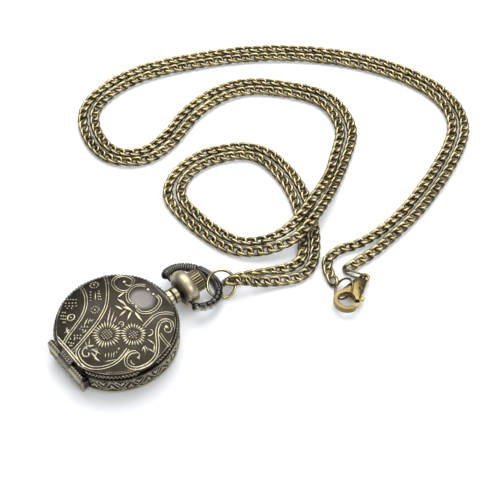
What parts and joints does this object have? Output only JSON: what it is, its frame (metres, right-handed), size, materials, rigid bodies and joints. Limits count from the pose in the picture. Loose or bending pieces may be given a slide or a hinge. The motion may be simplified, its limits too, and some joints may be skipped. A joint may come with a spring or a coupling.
{
  "type": "pendant watch",
  "caption": "Hunter-cased pendant watch with a scroll-engraved hinged lid, fluted crown, beaded bow and jump ring, on a long folded curb chain with a lobster clasp.",
  "frame": {"origin": "on the resting plane under the centre of the round case", "axes": "+Z out of the lid, +Y to the crown at twelve o'clock, +X to three o'clock"},
  "size_m": [0.0934, 0.1229, 0.0099],
  "materials": {
    "case_metal": "aged brass, dark in the recesses and rubbed pale on the high spots",
    "crown_metal": "aged brass, satin",
    "bow_metal": "dark gunmetal plating, worn bright on the beads",
    "ring_metal": "pale polished brass",
    "chain_metal": "antiqued brass links",
    "clasp_metal": "golden brown brass",
    "steel": "plain bright steel",
    "movement_brass": "gilt brass",
    "hand_metal": "black lacquer",
    "dial_enamel": "cream enamel",
    "crystal_glass": "clear",
    "gasket_rubber": "matt black",
    "holder_plastic": "moulded white",
    "board_green": "green solder mask",
    "chip_black": "black resin",
    "coil_copper": "enamelled copper wire"
  },
  "bodies": {
    "case": {"back_cover": "case_metal", "back_gasket": "gasket_rubber", "bezel_ring": "case_metal", "bridge_screws": "steel", "button_cell": "steel", "cell_clip": "steel", "chain_lead": "chain_metal", "chain_strand_a": "chain_metal", "chain_strand_b": "chain_metal", "circuit_board": "board_green", "clasp_body": "clasp_metal", "clasp_link": "chain_metal", "clasp_pin": "clasp_metal", "clasp_spring": "steel", "coil": "coil_copper", "coil_core": "steel", "control_chip": "chip_black", "dial": "dial_enamel", "dial_crystal": "crystal_glass", "end_ring": "ring_metal", "hinge_pin": "steel", "main_plate": "movement_brass", "mid_case": "case_metal", "movement_holder": "holder_plastic", "neck_collar": "case_metal", "neck_tube": "case_metal", "pendant_bell": "case_metal", "quartz_can": "steel", "stator": "steel", "train_bridge": "movement_brass"},
    "lid": {"lid": "case_metal"},
    "clutch": {"clutch_wheel": "steel"},
    "crown": {"crown": "crown_metal", "crown_cap": "crown_metal", "stem": "steel"},
    "bow": {"bow": "bow_metal", "bow_pins": "bow_metal"},
    "ring": {"jump_ring": "ring_metal"},
    "lever": {"clasp_lever": "clasp_metal"},
    "rotor": {"rotor": "steel"},
    "intermediate": {"intermediate_wheel": "movement_brass"},
    "seconds": {"seconds_wheel": "movement_brass", "seconds_hand": "hand_metal"},
    "third": {"third_wheel": "movement_brass"},
    "centre": {"centre_wheel": "movement_brass"},
    "minute": {"cannon_pinion": "movement_brass", "minute_hand": "hand_metal"},
    "minute_wheel": {"minute_wheel": "movement_brass"},
    "hour": {"hour_wheel": "movement_brass", "hour_hand": "hand_metal"}
  },
  "joints": [
    {"name": "lid_hinge", "type": "hinge", "parent": "case", "child": "lid", "pos_m": [0, -0.01305, 0.006], "axis": [1, 0, 0], "range_deg": [0, 100]},
    {"name": "crown_turn", "type": "hinge", "parent": "case", "child": "clutch", "pos_m": [0, 0.02, 0.0045], "axis": [0, 1, 0], "continuous": true},
    {"name": "crown_pull", "type": "slide", "parent": "clutch", "child": "crown", "axis": [0, 1, 0], "range_m": [0, 0.0005]},
    {"name": "bow_swing", "type": "hinge", "parent": "case", "child": "bow", "pos_m": [0, 0.0173, 0.0045], "axis": [1, 0, 0], "range_deg": [-100, 130], "deforming": ["chain_lead"]},
    {"name": "ring_swing", "type": "hinge", "parent": "bow", "child": "ring", "pos_m": [0.00333, 0.02521, 0.00162], "axis": [0.8536, -0.4896, 0.1782], "range_deg": [-25, 45], "deforming": ["chain_lead"]},
    {"name": "clasp_lever", "type": "hinge", "parent": "case", "child": "lever", "pos_m": [0.02361, 0.04947, 0.00171], "axis": [0.0323, -0.0994, -0.9945], "range_deg": [0, 25], "stiffness_Nm_per_rad": 0.002, "springref_deg": -8.59},
    {"name": "seconds_turn", "type": "hinge", "parent": "case", "child": "seconds", "pos_m": [0, 0, 0.006], "axis": [0, 0, -1], "continuous": true},
    {"name": "rotor_turn", "type": "hinge", "parent": "case", "child": "rotor", "pos_m": [0.00189, -0.00246, 0.0026], "axis": [0, 0, -1], "continuous": true},
    {"name": "intermediate_turn", "type": "hinge", "parent": "case", "child": "intermediate", "pos_m": [0.00145, -0.00084, 0.0019], "axis": [0, 0, -1], "continuous": true},
    {"name": "third_turn", "type": "hinge", "parent": "case", "child": "third", "pos_m": [-0.00177, 0.00102, 0.0027], "axis": [0, 0, -1], "continuous": true},
    {"name": "centre_turn", "type": "hinge", "parent": "case", "child": "centre", "pos_m": [0, 0, 0.0031], "axis": [0, 0, -1], "continuous": true},
    {"name": "minute_turn", "type": "hinge", "parent": "case", "child": "minute", "pos_m": [0, 0, 0.006], "axis": [0, 0, -1], "continuous": true},
    {"name": "minute_wheel_turn", "type": "hinge", "parent": "case", "child": "minute_wheel", "pos_m": [0.0012, 0.00208, 0.0047], "axis": [0, 0, -1], "continuous": true},
    {"name": "hour_turn", "type": "hinge", "parent": "case", "child": "hour", "pos_m": [0, 0, 0.0057], "axis": [0, 0, -1], "continuous": true}
  ],
  "couplings": [
    {"joint": "rotor_turn", "follows": "seconds_turn", "ratio": 30},
    {"joint": "intermediate_turn", "follows": "seconds_turn", "ratio": -5},
    {"joint": "third_turn", "follows": "seconds_turn", "ratio": -0.13333},
    {"joint": "centre_turn", "follows": "seconds_turn", "ratio": 0.016667},
    {"joint": "minute_wheel_turn", "follows": "minute_turn", "ratio": -0.33333},
    {"joint": "hour_turn", "follows": "minute_turn", "ratio": 0.083333}
  ]
}
